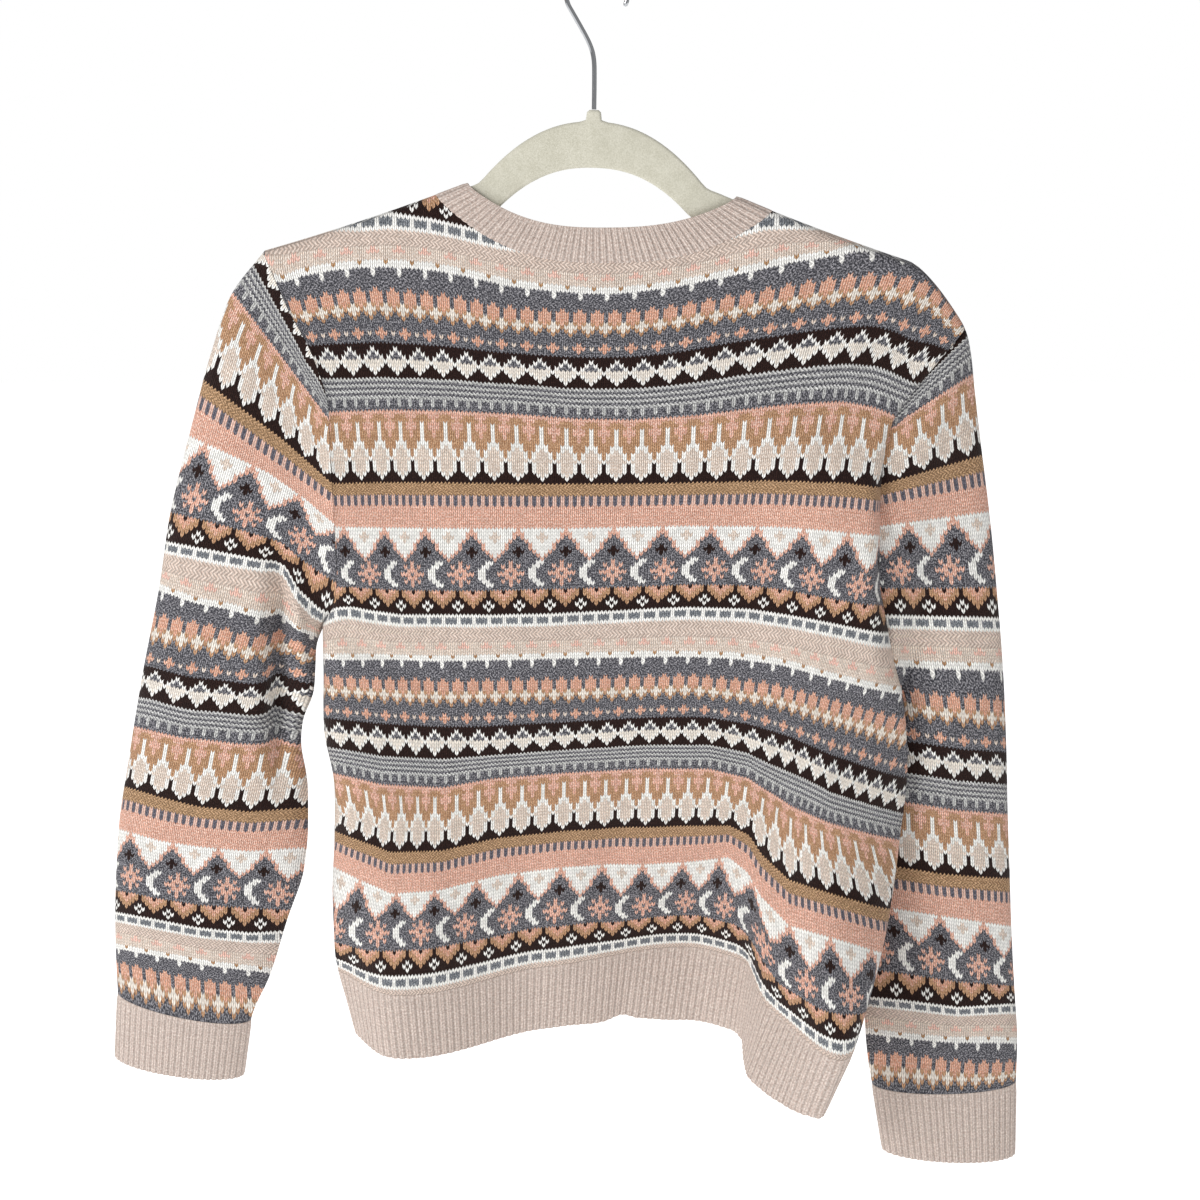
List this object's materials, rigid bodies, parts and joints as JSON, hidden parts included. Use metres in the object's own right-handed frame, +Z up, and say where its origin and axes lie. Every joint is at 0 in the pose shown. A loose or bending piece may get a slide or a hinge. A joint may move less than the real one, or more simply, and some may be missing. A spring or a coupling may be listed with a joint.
{
  "type": "fair isle jumper on a hanger",
  "caption": "Crew-neck fair isle jumper with long set-in sleeves and ribbed edges, hanging on a flat flocked hanger with a wire hook.",
  "frame": {"origin": "inside top of the hanger's hook, where a rail carries it", "axes": "+Z up; the jumper's back faces -Y and its front +Y; +X is the wearer's right"},
  "size_m": [0.6932, 0.1762, 0.8629],
  "materials": {
    "fair_isle_body": "wool stranded knit, patterned in bands",
    "fair_isle_sleeve": "wool stranded knit, patterned in bands",
    "marl_rib": "oatmeal marl wool in 1x1 rib",
    "flocked_hanger": "ivory velvet flock on a flat moulded hanger",
    "chrome_wire": "bright chrome-plated wire"
  },
  "bodies": {
    "root": {"back": "fair_isle_body", "front": "fair_isle_body", "sleeve_left": "fair_isle_sleeve", "sleeve_right": "fair_isle_sleeve", "cuff_left": "marl_rib", "cuff_right": "marl_rib", "hem_rib": "marl_rib", "neckband": "marl_rib", "hanger": "flocked_hanger", "hanger_hook": "chrome_wire"}
  },
  "joints": []
}
